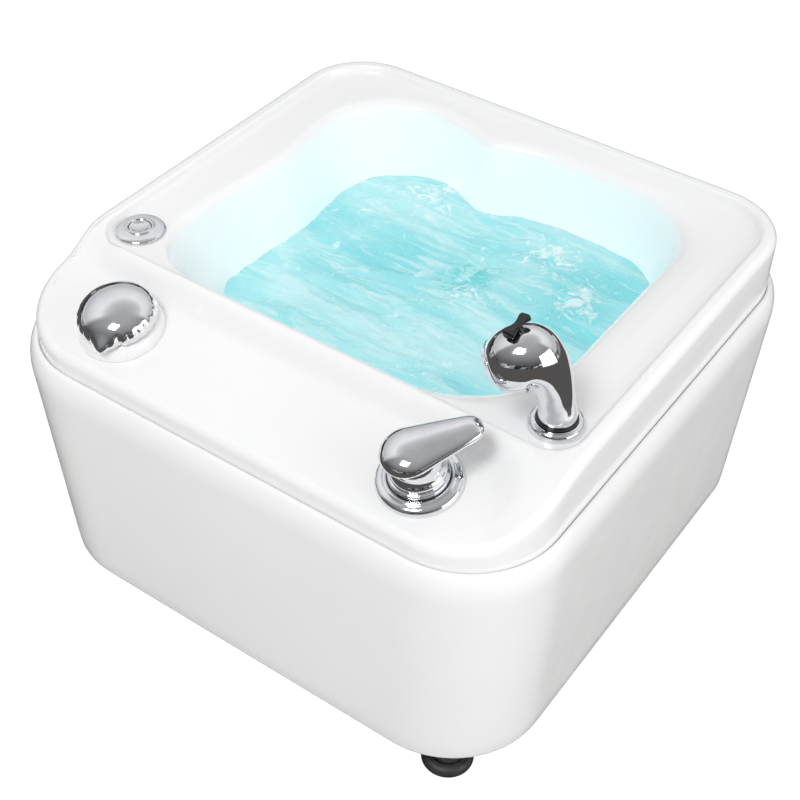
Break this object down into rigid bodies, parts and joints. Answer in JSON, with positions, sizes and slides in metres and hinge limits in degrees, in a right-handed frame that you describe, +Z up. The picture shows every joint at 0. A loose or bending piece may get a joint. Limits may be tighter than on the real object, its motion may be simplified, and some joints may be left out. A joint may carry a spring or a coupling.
{
  "type": "pedicure foot bath",
  "caption": "Moulded foot bath with a lobed basin on a tapered skirt and levelling feet, with lever mixer, pull-out hand shower, drain knob, air button and jet pump.",
  "frame": {"origin": "on the floor, under the centre of the skirt's footprint", "axes": "+Z up, +Y from the control deck at the front to the back, +X to the right seen from the front"},
  "size_m": [0.56, 0.558, 0.4461],
  "materials": {
    "white_acrylic": "high-gloss moulded acrylic",
    "chrome": "polished chrome plate",
    "satin_steel": "satin turned steel",
    "zinc_plated_frame": "zinc-plated square tube",
    "black_rubber": "matt rubber",
    "black_plastic": "black moulded plastic",
    "white_pipe": "white PVC",
    "braided_hose": "stainless wire braid",
    "grey_plastic": "satin grey plastic",
    "motor_enamel": "dark blue enamel",
    "brass": "machined brass",
    "plywood": "sealed plywood",
    "clear_air_line": "clear vinyl tube"
  },
  "bodies": {
    "bath": {"tub_shell": "white_acrylic", "skirt_shell": "white_acrylic", "drain_knob_collar": "white_acrylic", "mixer_escutcheon": "chrome", "mixer_body": "chrome", "shower_holder": "chrome", "air_button_flange": "chrome", "drain_body": "chrome", "jet_left": "chrome", "jet_right": "chrome", "mixer_back_nut": "brass", "drain_knob_nut": "black_plastic", "shower_holder_nut": "black_plastic", "air_button_nut": "black_plastic", "drain_cable": "black_plastic", "pump_housing": "black_plastic", "motor_cable": "black_plastic", "control_box": "grey_plastic", "shower_feed_pipe": "braided_hose", "hot_supply_hose": "braided_hose", "cold_supply_hose": "braided_hose", "air_button_bellows": "black_rubber", "air_tube": "clear_air_line", "drain_nut": "white_pipe", "tail_pipe": "white_pipe", "jet_manifold": "white_pipe", "suction_cover": "white_pipe", "suction_pipe": "white_pipe", "base_frame": "zinc_plated_frame", "pump_mount": "zinc_plated_frame", "basin_saddle_left": "plywood", "basin_saddle_right": "plywood", "pump_motor": "motor_enamel", "foot_front_right_nut": "zinc_plated_frame", "foot_front_left_nut": "zinc_plated_frame", "foot_back_right_nut": "zinc_plated_frame", "foot_back_left_nut": "zinc_plated_frame"},
    "mixer_stem": {"mixer_cartridge_stem": "brass"},
    "mixer_lever": {"mixer_lever": "chrome"},
    "drain_knob": {"drain_knob": "chrome"},
    "popup_plug": {"popup_plug": "chrome"},
    "shower_bush": {"shower_bush": "black_plastic"},
    "hand_shower": {"shower_handset": "chrome", "shower_nozzle": "grey_plastic", "shower_hose": "braided_hose"},
    "spray_selector": {"spray_selector": "black_plastic"},
    "air_button": {"air_button": "chrome"},
    "pump_rotor": {"pump_shaft": "satin_steel", "pump_impeller": "brass"},
    "foot_front_right": {"foot_front_right_pad": "black_rubber", "foot_front_right_stem": "satin_steel"},
    "foot_front_left": {"foot_front_left_pad": "black_rubber", "foot_front_left_stem": "satin_steel"},
    "foot_back_right": {"foot_back_right_pad": "black_rubber", "foot_back_right_stem": "satin_steel"},
    "foot_back_left": {"foot_back_left_pad": "black_rubber", "foot_back_left_stem": "satin_steel"}
  },
  "joints": [
    {"name": "mixer_swivel", "type": "hinge", "parent": "bath", "child": "mixer_stem", "pos_m": [0.16, -0.2172, 0.31861], "axis": [0, -0.1961, 0.9806], "range_deg": [-40, 40]},
    {"name": "mixer_lift", "type": "hinge", "parent": "mixer_stem", "child": "mixer_lever", "pos_m": [0.16, -0.22259, 0.34558], "axis": [0.788, -0.6037, -0.1207], "range_deg": [0, 15]},
    {"name": "drain_knob_turn", "type": "hinge", "parent": "bath", "child": "drain_knob", "pos_m": [-0.16, -0.2175, 0.31855], "axis": [0, -0.1961, 0.9806], "range_deg": [0, 90]},
    {"name": "plug_lift", "type": "slide", "parent": "bath", "child": "popup_plug", "axis": [0, 0, 1], "range_m": [0, 0.01]},
    {"name": "shower_swivel", "type": "hinge", "parent": "bath", "child": "shower_bush", "pos_m": [0.2245, -0.1165, 0.34], "axis": [0, 0, 1], "range_deg": [-75, 75]},
    {"name": "shower_pull_out", "type": "slide", "parent": "shower_bush", "child": "hand_shower", "axis": [0, 0, 1], "range_m": [0, 0.12], "deforming": ["shower_hose"]},
    {"name": "spray_select", "type": "hinge", "parent": "hand_shower", "child": "spray_selector", "pos_m": [0.19116, -0.13575, 0.4392], "axis": [-0.3455, -0.1995, 0.917], "range_deg": [-10, 25]},
    {"name": "air_button_press", "type": "slide", "parent": "bath", "child": "air_button", "axis": [0, 0, -1], "range_m": [0, 0.004], "stiffness_N_per_m": 900, "springref_m": -0.001},
    {"name": "pump_spin", "type": "hinge", "parent": "bath", "child": "pump_rotor", "pos_m": [0, -0.165, 0.115], "axis": [1, 0, 0], "continuous": true},
    {"name": "foot_front_right_adjust", "type": "slide", "parent": "bath", "child": "foot_front_right", "axis": [0, 0, 1], "range_m": [-0.01, 0.005], "stiffness_N_per_m": 25000},
    {"name": "foot_front_left_adjust", "type": "slide", "parent": "bath", "child": "foot_front_left", "axis": [0, 0, 1], "range_m": [-0.01, 0.005], "stiffness_N_per_m": 25000},
    {"name": "foot_back_right_adjust", "type": "slide", "parent": "bath", "child": "foot_back_right", "axis": [0, 0, 1], "range_m": [-0.01, 0.005], "stiffness_N_per_m": 25000},
    {"name": "foot_back_left_adjust", "type": "slide", "parent": "bath", "child": "foot_back_left", "axis": [0, 0, 1], "range_m": [-0.01, 0.005], "stiffness_N_per_m": 25000}
  ],
  "couplings": [
    {"joint": "plug_lift", "follows": "drain_knob_turn", "m_per_rad": 0.006366}
  ]
}
